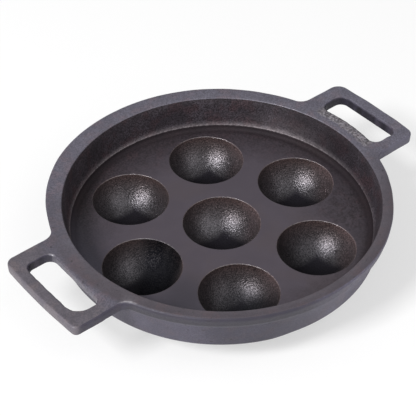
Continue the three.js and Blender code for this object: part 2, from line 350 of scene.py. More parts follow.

# The lips are rubbed bare, most at the back, where the bare tone is also a painted highlight on the lip's
# edge.
lip_glint_at, lip_glint_least = math.radians(35), 0.15
lip_wear_and_glint_share = []
for i in range(cup_facets):
    facing = max(0.0, math.cos(math.radians(360 * i / cup_facets) - lip_glint_at))
    lip_wear_and_glint_share.append(lip_glint_least + (1 - lip_glint_least) * facing ** 2)
lip_wear_and_glint = [[share * wear_and_glint for share in lip_wear_and_glint_share] for wear_and_glint in (0.0, 0.1, 0.35, 0.7, 0.8, 0.6, 0.25)]
cup_wear_and_glint = [0.0] * len(bowl) + lip_wear_and_glint + [0.0] * len(dome)
bm = bmesh.new()
cup_rings = turn(bm, bowl + lip + dome, cup_facets, wear_and_glints=cup_wear_and_glint)
close(bm, cup_rings[0], (0, 0, bowl_bottom))
close(bm, cup_rings[-1], (0, 0, foot_z))
crease(bm, cup_rings[-1])

# How brown and reddish each bowl is, and its painted shade: a dark wedge in front that points to the back.
photo_right, photo_back = Vector((0.766, -0.643, 0)), Vector((0.643, 0.766, 0))
brown_side = Vector((0.82, 0.57, 0))
brown_most, brown_even, brown_behind = 1.1, 0.65, 0.5
red_start, red_width, red_most = 11 * MM, 9 * MM, 0.45
wedge_right, wedge_back, left_slope = 2 * MM, 14.7 * MM, 0.85
shade_radius, shade_fade = 19 * MM, 5 * MM
ball_middle = Vector((0, 0, ball_z))
brown_mark, red_and_lit_mark, outside_mark = [bm.verts.layers.float.new(n) for n in ("browned", "reddish_and_lit", "outside")]
shade_mark = bm.verts.layers.float.get("soot_and_shade")
for vert in bm.verts:
    if (vert.co - ball_middle).length > bowl_radius + cup_wall / 2:
        vert[outside_mark] = 1.0
        continue
    up = (vert.co.z - bowl_bottom) / cup_depth
    behind = vert.co.dot(brown_side) / bowl_radius
    vert[brown_mark] = clamped(brown_most * up ** 2 * (brown_even + brown_behind * behind))
    to_right = vert.co.dot(photo_right)
    # Reddish on the right flank, which is also painted lighter as painted light.
    vert[red_and_lit_mark] = red_most * clamped((to_right - red_start) / red_width)
    slope = 1.0 if to_right > wedge_right else left_slope
    # Painted shade: dark where the wedge in front and the bottom of the bowl overlap.
    in_wedge = wedge_back - slope * abs(to_right - wedge_right) - vert.co.dot(photo_back)
    vert[shade_mark] = clamped(in_wedge / shade_fade, (shade_radius - vert.co.xy.length) / shade_fade)
cups = make_piece(bm, "cups", [oiled_black])

tree = bpy.data.node_groups.new("ring_of_cups", "GeometryNodeTree")
tree.interface.new_socket("Geometry", in_out="INPUT", socket_type="NodeSocketGeometry")
sizes = {
    "Cups in ring": ("NodeSocketInt", ring_cups),
    "Ring radius": ("NodeSocketFloat", ring_radius),
    "Turn": ("NodeSocketVector", (0.0, 0.0, ring_turn)),
    "Middle": ("NodeSocketVector", (0.0, inside_y, 0.0)),
    "Finish": ("NodeSocketMaterial", oiled_black),
}
sockets = {}
for name, (kind, _) in sizes.items():
    sockets[name] = tree.interface.new_socket(name, in_out="INPUT", socket_type=kind)
tree.interface.new_socket("Geometry", in_out="OUTPUT", socket_type="NodeSocketGeometry")
given = tree.nodes.new("NodeGroupInput").outputs
places, shifted, each, real, painted = [
    tree.nodes.new("GeometryNode" + kind)
    for kind in ("MeshCircle", "Transform", "InstanceOnPoints", "RealizeInstances", "SetMaterial")]
places.fill_type = "TRIANGLE_FAN"
set_of_cups = tree.nodes.new("NodeGroupOutput")
for source, node, socket in (
        (given["Cups in ring"], places, "Vertices"), (given["Ring radius"], places, "Radius"),
        (places.outputs["Mesh"], shifted, "Geometry"), (given["Middle"], shifted, "Translation"),
        (given["Turn"], shifted, "Rotation"), (shifted.outputs["Geometry"], each, "Points"),
        (given["Geometry"], each, "Instance"), (each.outputs["Instances"], real, "Geometry"),
        (real.outputs["Geometry"], painted, "Geometry"), (given["Finish"], painted, "Material"),
        (painted.outputs["Geometry"], set_of_cups, "Geometry")):
    tree.links.new(source, node.inputs[socket])

set_out = cups.modifiers.new("ring_of_cups", "NODES")
set_out.node_group = tree
for name, (_, value) in sizes.items():
    set_out[sockets[name].identifier] = value
seven = bpy.data.meshes.new_from_object(cups.evaluated_get(bpy.context.evaluated_depsgraph_get()))
cups.modifiers.remove(set_out)
cups.data = seven
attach(cups, "root")
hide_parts("cup_centre", *[f"cup_{i + 1}" for i in range(ring_cups)])

# The floor plate: the flat bottom of the casting that carries the cups, with the rounded corner of the base.
# Its top was faced smooth on a lathe, up into the foot of the wall, which leaves a low step all round.
# Below it stays as cast.
turned_radius = ring_radius + cup_mouth / 2 + 8.27 * MM
turned_corner = 3.2 * MM
turned_step = 3.75 * MM
base_corner = 4 * MM
rim_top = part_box("side_wall")[1].z
rim_width = 8.8 * MM
rim_edge = 1.5 * MM
inside_draft = math.radians(8.5)
outside_draft = math.radians(14)
wall_fillet = 9 * MM
fillet_start = math.asin(turned_step / wall_fillet - 1)
fillet_middle = turned_radius - wall_fillet * math.cos(fillet_start)
fillet_z = floor_z + wall_fillet
seam_z = floor_z + 3.4 * MM
rim_facets = 288
cove_steps, base_steps = 8, 10
stand_back = 0.85 * MM
stand_back_from, stand_back_rise = -114, 10
stand_back_to, stand_back_fall = -30, 30
LEFT, RIGHT, FRONT, UP = (-1.0, 0.0, 0.0), (1.0, 0.0, 0.0), (0.0, -1.0, 0.0), (0.0, 0.0, 1.0)


def inner_radius(z):
    """Radius of the cast inner face of the wall, above its fillet."""
    return fillet_middle + wall_fillet / math.cos(inside_draft) + (z - fillet_z) * math.tan(inside_draft)


rim_radius = inner_radius(rim_top) + rim_width


def outer_radius(z):
    """Radius of the outer face of the wall, below the rounded edge of the rim."""
    edge_radius = rim_radius - rim_edge * (1 - math.cos(outside_draft))
    edge_z = rim_top - rim_edge * (1 + math.sin(outside_draft))
    return edge_radius - (edge_z - z) * math.tan(outside_draft)


def set_back(x, y):
    """How far the lower outside stands back on the front right, where the mould's halves didn't meet."""
    degrees = math.degrees(math.atan2(y, x))
    rise, fall = (degrees - stand_back_from) / stand_back_rise, (stand_back_to - degrees) / stand_back_fall
    share = clamped(rise, fall)
    return stand_back * share * share * (3 - 2 * share)


def bell(offset, reach):
    """A share that is full in one place and fades on both sides."""
    return math.exp(-(offset / reach) ** 2)


def fill_flat(bm, *loops, finish=0):
    """Fills the flat between an outline and the holes in it."""
    edges = []
    for loop in loops:
        edges += [bm.edges.get(pair) or bm.edges.new(pair) for pair in pairs(loop)]
    for part in bmesh.ops.triangle_fill(bm, use_beauty=True, edges=edges, normal=(0, 0, 1))["geom"]:
        if isinstance(part, bmesh.types.BMFace):
            part.material_index = finish


# The turned top: rubbed smooth in the middle. Towards the wall, and in a patch on the right front, it is
# darker, rougher and pitted.
bench = Finish("turned_satin")
smooth = bench.iron(
    grain=0.8 * MM, dark=(0.074, 0.061, 0.078), light=(0.081, 0.067, 0.085),
    brown=(0.082, 0.065, 0.075), browned=0.6, patch=28 * MM, pit=(0.062, 0.054, 0.064), pits=0.3,
    rough=(0.36, 0.44), relief=0.02 * MM)
darker_near_wall = bench.iron(
    grain=1.8 * MM, dark=(0.039, 0.030, 0.036), light=(0.049, 0.037, 0.045),
    brown=(0.056, 0.036, 0.042), browned=0.8, patch=12 * MM, pit=(0.020, 0.016, 0.019), pits=0.9,
    rough=(0.38, 0.52), relief=0.34 * MM)
residue = bench.iron(
    grain=0.9 * MM, dark=(0.019, 0.011, 0.016), light=(0.024, 0.014, 0.020),
    brown=(0.028, 0.015, 0.018), browned=0.6, patch=28 * MM, pit=(0.010, 0.007, 0.009), pits=0.7,
    rough=(0.70, 0.80), relief=0.08 * MM)
bluish_left = bench.beyond((-0.94, -0.34, 0.0), 30 * MM, 80 * MM, 0.0, 0.75)
darker_near_wall = bench.tint(bluish_left, darker_near_wall, (0.080, 0.076, 0.112))
residue = bench.tint(bluish_left, residue, (0.068, 0.064, 0.088))
mottle = bench.spread(bench.speckle(5 * MM, 4.0, 0.7), 0.25, 0.75, -5 * MM, 5 * MM)
mottled_radius = bench.reckon("ADD", bench.from_axis(0.0, inside_y - 7 * MM), mottle)
flecks = bench.spread(bench.speckle(3.5 * MM, 3.0, 0.65), 0.35, 0.65, 0.45, 1.0)
rough_right = bench.overlap(bench.around(84 * MM, -48 * MM, 10 * MM, 56 * MM), flecks)
towards_wall = bench.either(bench.spread(mottled_radius, 58 * MM, 104 * MM), rough_right)
look = bench.cover(towards_wall, smooth, darker_near_wall)
# Painted shadow of the front wall on the floor at the front left.
wall_shadow_colour, wall_shadow_core = (0.036, 0.033, 0.044), 4 * MM
for x, y, reach, share in ((-64 * MM, -47 * MM, 26 * MM, 0.55), (-57 * MM, -34 * MM, 22 * MM, 0.5)):
    look = bench.tint(bench.around(x, y, wall_shadow_core, reach, share), look, wall_shadow_colour)
in_cove = bench.spread(bench.from_axis(0.0, inside_y), 90 * MM, 97 * MM)
look = bench.cover(in_cove, look, residue)
turned_satin = bench.done(*look, bare_and_glint=(0.32, 0.28, 0.30), metal=bench.spread(in_cove, 0.0, 1.0, 0.15, 0.38))

# The skin that the sand left on the sides and below: dark, with painted light on the front right and about
# the left root, a band of painted shade under the rim's front, and tan on the end of the left handle.
bench = Finish("cast_skin")
dark_skin = bench.iron(
    grain=1.0 * MM, dark=(0.042, 0.037, 0.060), light=(0.057, 0.051, 0.080),
    brown=(0.066, 0.051, 0.070), browned=0.7, pit=(0.040, 0.036, 0.052), pits=0.6,
    rough=(0.48, 0.62), relief=0.08 * MM, holes=0.5)
lit_skin = bench.iron(
    grain=1.0 * MM, dark=(0.130, 0.118, 0.170), light=(0.162, 0.148, 0.208),
    brown=(0.168, 0.138, 0.178), browned=0.7, pit=(0.084, 0.077, 0.104), pits=0.6,
    rough=(0.44, 0.58), relief=0.08 * MM, holes=0.5)
above_parting = bench.beyond(UP, rim_top - 7.7 * MM, rim_top - 7.2 * MM)
lit_right = bench.overlap(
    bench.beyond((0.985, -0.174, 0.0), -30 * MM, 50 * MM),
    bench.beyond((0.174, -0.985, 0.0), 20 * MM, 90 * MM))
lit_left = bench.overlap(
    bench.around(-94 * MM, -54 * MM, 12 * MM, 46 * MM, 0.32), bench.spread(above_parting, 0.0, 1.0, 1.0, 0.3))
look = bench.cover(bench.either(lit_right, lit_left), dark_skin, lit_skin)
# Painted shade in a band under the rim's front.
shade_band = bench.overlap(
    above_parting, bench.beyond((0.3, 0.954, 0.0), -70 * MM, -30 * MM, 1.0, 0.0),
    bench.beyond(UP, rim_top - 6 * MM, rim_top - 1 * MM, 0.95, 0.55),
    bench.around(0.0, 0.0, 110 * MM, 112 * MM), bench.beyond(RIGHT, -45 * MM, 5 * MM, 1.0, 0.15))
look = bench.tint(shade_band, look, (0.036, 0.032, 0.045))
tan_cloud = bench.spread(bench.speckle(10 * MM, 3.0), 0.4, 0.6)
tan_tone = bench.blend(tan_cloud, (0.124, 0.111, 0.134), (0.152, 0.133, 0.150))
look = bench.tint(bench.beyond(LEFT, 133 * MM, 139 * MM), look, tan_tone)
# Painted light on the front of the right handle, so that its side is nearly as light as its top.
lit_right_front = bench.overlap(bench.beyond(RIGHT, 108 * MM, 118 * MM), bench.beyond(FRONT, 29 * MM, 33 * MM))
look = bench.tint(lit_right_front, look, (0.122, 0.115, 0.156))
cast_skin = bench.done(*look, bare_and_glint=(0.2, 0.19, 0.22), metal=0.15)

# The edge of the turned step is rubbed bare; at the back it has a painted glint, and on the right painted
# light.
step_glint_at, foot_light_at, foot_light_reach = 78, 22, 15
bare_all_round, glint_at_back, light_at_right = 0.2, 0.39, 0.35
step_bare_and_glint, foot_light_share = [], []
for i in range(rim_facets):
    degrees = 360 * i / rim_facets
    at_back = max(0.0, math.cos(math.radians(degrees - step_glint_at))) ** 0.8
    at_right = bell(degrees - foot_light_at, foot_light_reach)
    foot_light_share.append(at_right)
    step_bare_and_glint.append(bare_all_round + glint_at_back * at_back + light_at_right * at_right)
cove_wear_and_glint = [[share * wear_and_glint for share in step_bare_and_glint] for wear_and_glint in (0, 0, 0, 0, 0, 0, 0, 0.04, 0.3, 0.7)]
bm = bmesh.new()
floor_turned, floor_cast = 0, 1
cove = arc(turned_radius - turned_corner, floor_z + turned_corner, turned_corner, -90, 0, cove_steps)
cove_rings = turn(bm, cove + [(turned_radius, seam_z)], rim_facets, inside_y, floor_turned, cove_wear_and_glint)
base_z = underside_z + base_corner
base_middle = outer_radius(base_z) - base_corner / math.cos(outside_draft)
base_round = arc(base_middle, base_z, base_corner, -math.degrees(outside_draft), -90, base_steps)
base_rings = turn(bm, [(outer_radius(seam_z), seam_z)] + base_round, rim_facets, finish=floor_cast)
for vert in [vert for ring in base_rings for vert in ring]:
    vert.co.xy -= vert.co.xy.normalized() * set_back(*vert.co.xy)
skin(bm, cove_rings[-1], base_rings[0], floor_cast)
mouths, seats = [], []
for x, y in [(0.0, inside_y)] + ring_places:
    mouth, seat = [
        lay_ring(bm, [(x + a, y + b, z) for a, b, z in circle(radius, z, cup_facets)])
        for radius, z in (lip_edge, dome_edge)]
    skin(bm, mouth, seat)
    mouths.append(mouth)
    seats.append(seat)
fill_flat(bm, cove_rings[0], *mouths, finish=floor_turned)
fill_flat(bm, base_rings[-1], *seats, finish=floor_cast)
floor_plate = make_piece(bm, "floor", [turned_satin, cast_skin])
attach(floor_plate, "root")
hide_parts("floor_plate")

# The side wall with its flat rim and the two loop handles, all one iron casting with the floor.
# The wall leans outwards so that the pattern leaves the sand, the rim's top is ground flat, and the handles
# grow from it in fillets, each with a slot for the fingers. The grips beyond the roots are cut off last.
grip_low, grip_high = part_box("handle_right")
grip_seam = grip_low.x
handle_end = grip_high.x
handle_half = (grip_high.y - grip_low.y) / 2
handle_y = (grip_high.y + grip_low.y) / 2
handle_under = grip_low.z
handle_corner = {(1, -1): 6 * MM, (1, 1): 8 * MM, (-1, -1): 3.5 * MM, (-1, 1): 6 * MM}
end_bow = 450 * MM
root_fillet = 9 * MM
handle_draft = math.tan(math.radians(2))
crisp_radius = 0.6 * MM
rubbed_radius = 2.5 * MM
rubbed_side = Vector((-0.643, -0.766))
under_round = 0.5 * MM
under_fillet = 1.2 * MM
waver_length = 13 * MM
waver_size = 0.3 * MM
waver_apart = Vector((31.7, 12.3, 5.9))
rim_swells = ((-40, 14, -0.65 * MM), (-70, 11, 0.55 * MM), (118, 16, 0.55 * MM), (154, 9, -0.9 * MM))
swell_end, swell_fade = rim_radius + 9 * MM, 6 * MM
end_steps = 16
bend_steps = 8
leg_steps = 12
root_steps = 10
rim_steps = 120


def handle_outline(end, radius, inset):
    """Edge of a handle in plan, drawn on the right, from where it leaves the rim to where it comes back."""
    sides = []
    for way in (-1, 1):
        corner = handle_corner[end, way]
        corner_y = handle_half - corner
        bow = math.asin(corner_y / (end_bow - corner))
        bow_end = math.degrees(bow)
        corner_x = handle_end - end_bow + (end_bow - corner) * math.cos(bow)
        leg_y = way * handle_y + handle_half - inset
        root = root_fillet + inset
        root_y = leg_y + root
        root_x = math.sqrt((radius + root) ** 2 - root_y ** 2)
        root_end = math.degrees(math.atan2(root_y, root_x)) - 180
        side = arc(handle_end - end_bow, way * handle_y, end_bow - inset, 0, bow_end, end_steps)[:-1]
        side += arc(corner_x, way * handle_y + corner_y, corner - inset, bow_end, 90, bend_steps)
        side += [(corner_x + (root_x - corner_x) * i / leg_steps, leg_y) for i in range(1, leg_steps)]
        side += arc(root_x, root_y, root, -90, root_end, root_steps)
        sides.append([(x, way * y) for x, y in side])
    lower, upper = sides
    return lower[:0:-1] + upper


def swell(x, y):
    """How far the rim stands out or in at a place round the pan, because the casting isn't quite round."""
    degrees = math.degrees(math.atan2(y, x))
    near_rim = clamped((swell_end - math.hypot(x, y)) / swell_fade)
    return near_rim * sum(size * bell(degrees - middle, reach) for middle, reach, size in rim_swells)


def as_cast(x, y):
    """Moves a point of the outline a little, because a sand mould isn't a drawing."""
    here = Vector((x, y, 0)) / waver_length
    waver = Vector((noise.noise(here), noise.noise(here + waver_apart))) * waver_size
    grown = 1 + swell(x, y) / math.hypot(x, y)
    x = max(cad_box[0].x, min(cad_box[1].x, x * grown + waver.x))
    y = max(cad_box[0].y, min(cad_box[1].y, y * grown + (waver.y if abs(x) > grip_seam else 0.0)))
    return x, y


def drawn_in(drop, radius):
    """How far a rounded top edge stands back from its side at a depth below the top."""
    return radius - math.sqrt(radius ** 2 - (radius - drop) ** 2) if drop < radius else 0.0


def rub_round(ring, drop):
    """Draws an outline in where its top edge was rubbed round, which it was most on the front left."""
    moved = []
    for i, (x, y) in enumerate(ring):
        run = Vector(ring[(i + 1) % len(ring)]) - Vector(ring[i - 1])
        out = Vector((run.y, -run.x)).normalized()
        share = (0.5 + 0.5 * out.dot(rubbed_side)) ** 2
        radius = crisp_radius + share * (rubbed_radius - crisp_radius)
        more = drawn_in(drop, radius) - drawn_in(drop, crisp_radius)
        moved.append((x - out.x * more, y - out.y * more))
    return moved


def rim_outline(drop, radius, inset):
    """The whole pan in plan: the right handle, the rim behind, the left handle and the rim in front."""
    right_handle = handle_outline(1, radius, inset)
    left_handle = [(-x, y) for x, y in reversed(handle_outline(-1, radius, inset))]
    low, high = [math.degrees(math.atan2(y, x)) for x, y in (right_handle[0], right_handle[-1])]
    behind = arc(0, 0, radius, high, 180 - high, rim_steps)[1:-1]
    front = arc(0, 0, radius, 180 - low, 360 + low, rim_steps)[1:-1]
    return [as_cast(x, y) for x, y in rub_round(right_handle + behind + left_handle + front, drop)]


slot_edge = 1.5 * MM
slot_start = rim_radius + 3 * MM
slot_end = {1: slot_start + 18.5 * MM, -1: slot_start + 19.3 * MM}
slot_half = 26 * MM
slot_y = handle_y - 1 * MM
slot_corner = 6 * MM
front_corner = {1: 6 * MM, -1: 10 * MM}
near_reach = {1: 1.2 * MM, -1: 1.0 * MM}
left_slant = 0.02
far_draft = math.tan(math.radians(-6))
near_draft = {1: 0.0, -1: math.tan(math.radians(6))}
rough_lip = {1: 2.8 * MM, -1: 1.0 * MM}
lump_size = 1.7 * MM
lump_rise = 0.7 * MM
lump_share = 0.12
ripple_length = 3.5 * MM
ripple_size = 0.9 * MM
ripple_z = 5 * MM
ripple_steps = 10
lip_damping = 0.75
slot_top_steps = 8
slot_low_steps = 4


def near_edge(side, y):
    """How far the slot's pan side moves to the pan: it follows the rim on the right, slants on the left."""
    return (y ** 2 / (2 * slot_start) if side > 0 else left_slant * y) - near_reach[side]


def finger_slot(side):
    """Points round the right or left slot: place, direction into the iron, and how soft the top edge is."""
    # Each corner: outer end or pan side, back or front, start of its bend, whether its first and last points
    # belong to the lip on the pan side, and the gaps to the next corner.
    corners = ((1, 1, 0, 0, 0, 4), (0, 1, 90, 0, 1, 64), (0, -1, 180, 1, 0, 4), (1, -1, 270, 0, 0, 16))
    bends = []
    for outer, way, start, first, last, _ in corners:
        bend = front_corner[side] if (outer, way) == (1, -1) else slot_corner
        x = slot_end[side] - bend if outer else slot_start + bend
        y = way * (slot_half - bend)
        points = []
        for i in range(bend_steps + 1):
            a = math.radians(start + 90 * i / bend_steps)
            into = Vector((math.cos(a), math.sin(a)))
            on_lip = first + (last - first) * i / bend_steps
            points.append((x + bend * into.x, y + bend * into.y, into.x, into.y, on_lip))
        bends.append(points)
    points = []
    for number, bend in enumerate(bends):
        points += bend
        from_x, from_y, *same = bend[-1]
        next_x, next_y = bends[(number + 1) % len(bends)][0][:2]
        gaps = corners[number][-1]
        for i in range(1, gaps):
            x, y = from_x + (next_x - from_x) * i / gaps, from_y + (next_y - from_y) * i / gaps
            points.append((x, y, *same))
    placed = []
    for x, y, into_x, into_y, on_lip in points:
        x -= on_lip * near_edge(side, y + slot_y)
        soft = slot_edge + on_lip * (rough_lip[side] - slot_edge)
        placed.append((side * x, y + slot_y, side * into_x, into_y, soft))
    return placed


def lip_part(side, soft):
    """How far a point belongs to the rough lip on the slot's pan side, by how soft its edge is."""
    return (soft - slot_edge) / (rough_lip[side] - slot_edge)


def slot_level(slot, side, step):
    """One ring of a slot's wall, from its rounded top edge down to its rounded lower edge."""
    ring = []
    top_step = min(step, slot_top_steps)
    top_turn = math.radians(90 * top_step / slot_top_steps)
    low_turn = math.radians(90 * max(step - slot_top_steps - 1, 0) / slot_low_steps)
    for x, y, into_x, into_y, soft in slot:
        part = lip_part(side, soft)
        draft = far_draft + part * (near_draft[side] - far_draft)
        side_depth = rim_top - handle_under - soft - under_round
        lump = noise.noise(Vector((x, y, step * lump_rise)) / lump_size) * lump_share * (soft - slot_edge)
        bulge = soft + (lump if 0 < step < slot_top_steps else 0.0)
        ripple = noise.noise(Vector((x, y, ripple_z)) / ripple_length) * ripple_size
        ripple *= (1 - top_step / ripple_steps) * (1 - lip_damping * part if side > 0 else 1)
        out = soft - bulge * math.sin(top_turn) + ripple
        z = rim_top - soft + bulge * math.cos(top_turn)
        if step > slot_top_steps:
            out += draft * side_depth + under_round * (1 - math.cos(low_turn))
            z -= side_depth + under_round * math.sin(low_turn)
        ring.append((x + into_x * out, y + into_y * out, min(z, rim_top)))
    return ring


# The inner wall: as cast and dry, in the dark on the right.
bench = Finish("cast_inside")
look = bench.iron(
    grain=1.2 * MM, dark=(0.046, 0.038, 0.048), light=(0.084, 0.070, 0.086),
    brown=(0.076, 0.046, 0.055), browned=0.9, patch=12 * MM, pit=(0.018, 0.014, 0.017), pits=0.85,
    rough=(0.42, 0.60), relief=0.32 * MM)
dark_right = bench.around(inner_radius(rim_top), 8 * MM, 18 * MM, 48 * MM, 0.55)
look = bench.tint(dark_right, look, (0.016, 0.012, 0.016))
cast_inside = bench.done(*look, bare_and_glint=(0.36, 0.31, 0.33), metal=0.2)

# Tops of the rim and the handles, ground flat: dry and grey, darker with painted shade on the rim's front,
# pale on the right handle, tan on the left one, and rugged along the lip of the right slot.
bench = Finish("ground_top")
dry = bench.iron(
    grain=1.1 * MM, dark=(0.124, 0.116, 0.152), light=(0.148, 0.139, 0.180),
    brown=(0.166, 0.131, 0.160), browned=0.8, pit=(0.066, 0.062, 0.079), pits=0.7,
    rough=(0.40, 0.54), relief=0.06 * MM, holes=0.5)
pale = bench.iron(
    grain=1.1 * MM, dark=(0.143, 0.137, 0.178), light=(0.170, 0.162, 0.210),
    brown=(0.182, 0.153, 0.184), browned=0.7, pit=(0.075, 0.071, 0.090), pits=0.7,
    rough=(0.40, 0.54), relief=0.06 * MM)
front_shade_look = bench.iron(
    grain=1.0 * MM, dark=(0.077, 0.065, 0.080), light=(0.090, 0.077, 0.094),
    brown=(0.102, 0.075, 0.087), browned=0.8, pit=(0.052, 0.046, 0.053), pits=0.5,
    rough=(0.42, 0.54), relief=0.04 * MM, holes=0.5)
tanned = bench.iron(
    grain=1.1 * MM, dark=(0.108, 0.097, 0.118), light=(0.136, 0.122, 0.144),
    brown=(0.172, 0.141, 0.152), browned=0.8, patch=10 * MM, pit=(0.070, 0.064, 0.075), pits=0.6,
    rough=(0.40, 0.54), relief=0.06 * MM)
rugged = bench.iron(
    grain=1.9 * MM, dark=(0.160, 0.148, 0.168), light=(0.290, 0.270, 0.300),
    brown=(0.250, 0.212, 0.226), browned=0.6, patch=3 * MM, pit=(0.050, 0.046, 0.053), pits=0.8,
    rough=(0.32, 0.50), relief=0.45 * MM)
dry = bench.tint(bench.around(-97 * MM, 42 * MM, 8 * MM, 42 * MM, 0.4), dry, (0.066, 0.058, 0.072))
# Painted shade on the rim's front: it is darker there.
shaded_front = bench.overlap(
    bench.around(0.0, 0.0, 110 * MM, 115 * MM), bench.beyond((0.3, 0.954, 0.0), -50 * MM, 20 * MM, 1.0, 0.0))
look = bench.cover(shaded_front, dry, front_shade_look)
look = bench.cover(bench.beyond(RIGHT, 108 * MM, 120 * MM), look, pale)
look = bench.cover(bench.beyond(LEFT, 110 * MM, 122 * MM), look, tanned)
fray = bench.spread(bench.speckle(3 * MM), 0.3, 0.7, -0.8 * MM, 0.8 * MM)
frayed_radius = bench.reckon("ADD", bench.from_axis(0.0, 0.0), fray)
beside_slot = bench.overlap(
    bench.spread(frayed_radius, rim_radius - 4.6 * MM, rim_radius - 3.0 * MM),
    bench.around(rim_radius, slot_y, 22 * MM, 27 * MM),
    bench.beyond(RIGHT, slot_end[1] - 9 * MM, slot_end[1] - 8 * MM, 1.0, 0.0))
look = bench.cover(beside_slot, look, rugged)
ground_top = bench.done(*look, bare_and_glint=(0.45, 0.43, 0.46), metal=0.15)

# The inner wall from the turned step up to the rim. The step's edge is bare, with a painted glint; the foot
# on the right has painted light.
bm = bmesh.new()
wall_inside, wall_top, wall_cast = 0, 1, 2
step_turn = 90 + math.degrees(fillet_start)
step_round = 0.6 * MM
edge_steps, foot_steps, upper_edge_steps = 4, 8, 5
step_trim = step_round * math.tan(math.radians(step_turn) / 2)
step_z = floor_z + turned_step - step_trim
step_edge = arc(turned_radius + step_round, step_z, step_round, 180, 180 - step_turn, edge_steps)
foot_start = math.degrees(fillet_start + step_trim / wall_fillet)
foot_of_wall = arc(fillet_middle, fillet_z, wall_fillet, foot_start, -math.degrees(inside_draft), foot_steps)
lower_wall = [(inner_radius(z), z) for z in (floor_z + 11 * MM, floor_z + 14 * MM, floor_z + 17 * MM)]
inner_edge = 1.0 * MM
inner_edge_z = rim_top - inner_edge
inner_edge_middle = inner_radius(inner_edge_z) + inner_edge / math.cos(inside_draft)
inner_edge_start = 180 - math.degrees(inside_draft)
upper_edge = arc(inner_edge_middle, inner_edge_z, inner_edge, inner_edge_start, 90, upper_edge_steps)
step_rows_bare_and_glint = [0.7, 0.9, 0.95, 0.9, 0.78, 0.65] + [0.46, 0.3, 0.18, 0.1, 0.04] + [0.0] * 6
foot_rows_light = [0.0] * 6 + [0.08, 0.12, 0.15, 0.16, 0.17, 0.17, 0.17, 0.17, 0.15, 0.11, 0.05]
wall_wear_and_light = []
for on_step, on_foot in zip(step_rows_bare_and_glint, foot_rows_light):
    wall_wear_and_light.append([on_step * a + on_foot * b for a, b in zip(step_bare_and_glint, foot_light_share)])
wall_profile = [(turned_radius, seam_z)] + step_edge + foot_of_wall[1:] + lower_wall
inside = turn(bm, wall_profile, rim_facets, inside_y, wall_inside, wall_wear_and_light)
upper_edge_wear = 0.05
cast_edge_rings, ground_edge_rings = 2, 4
for i, (radius, z) in enumerate(upper_edge):
    inside.append(lay_ring(bm, circle(radius, z, rim_facets, inside_y), upper_edge_wear))
    skin(bm, inside[-2], inside[-1], wall_inside if i < cast_edge_rings else wall_top)

rim_sweep = crisp_radius * (1 + math.sin(outside_draft))


def level_at(drop):
    """Height, rim radius and handle inset of one level of the outside, by how far it lies below the top."""
    z = rim_top - drop
    if drop < rim_sweep:
        edge_middle = outer_radius(rim_top - crisp_radius) - crisp_radius / math.cos(outside_draft)
        radius = edge_middle + math.sqrt(crisp_radius ** 2 - (crisp_radius - drop) ** 2)
    else:
        radius = outer_radius(z)
    inset = max(0.0, drop - crisp_radius) * handle_draft + drawn_in(drop, crisp_radius)
    into_under = z - handle_under - under_round
    if into_under < 0:
        inset += under_round - math.sqrt(max(0.0, under_round ** 2 - into_under ** 2))
    return z, radius, inset


# Places on the left handle painted bare and bright, as wear and as painted glints: where, and how far they
# reach.
glint_spots = (
    (-103.5 * MM, -40 * MM, 6 * MM), (-113.4 * MM, 22.5 * MM, 2.6 * MM), (-111.4 * MM, -12 * MM, 2.2 * MM))


def bare_glint_share(points, share):
    """How bare and bright each point is, by how near it lies to one of the spots of wear and painted glints.
    """
    bare_and_glint = []
    for x, y, _ in points:
        nearest = max(1 - math.hypot(x - at_x, y - at_y) / reach for at_x, at_y, reach in glint_spots)
        bare_and_glint.append(share * max(0.0, nearest))
    return bare_and_glint


# The outside down to the underside of the handles.
drops = [drop * MM for drop in (0.0, 0.03, 0.12, 0.25, 0.42, 0.6)] + [rim_sweep]
drops += [drop * MM for drop in (1.0, 1.4, 2.0, 3.0, 4.2)]
drops += [rim_top - handle_under - under_round * rest for rest in (1.0, 0.5, 0.19, 0.05, 0.0)]
levels = [level_at(drop) for drop in drops]
edge_glint = [0.2, 0.5, 0.9, 1.0, 0.9, 0.5]
edge_glint += [0.0] * (len(drops) - len(edge_glint))
outline = []
for i, (z, radius, inset) in enumerate(levels):
    points = [(x, y, z) for x, y in rim_outline(drops[i], radius, inset)]
    outline.append(lay_ring(bm, points, bare_glint_share(points, edge_glint[i])))
    if i:
        skin(bm, outline[-2], outline[-1], wall_top if i < ground_edge_rings else wall_cast)

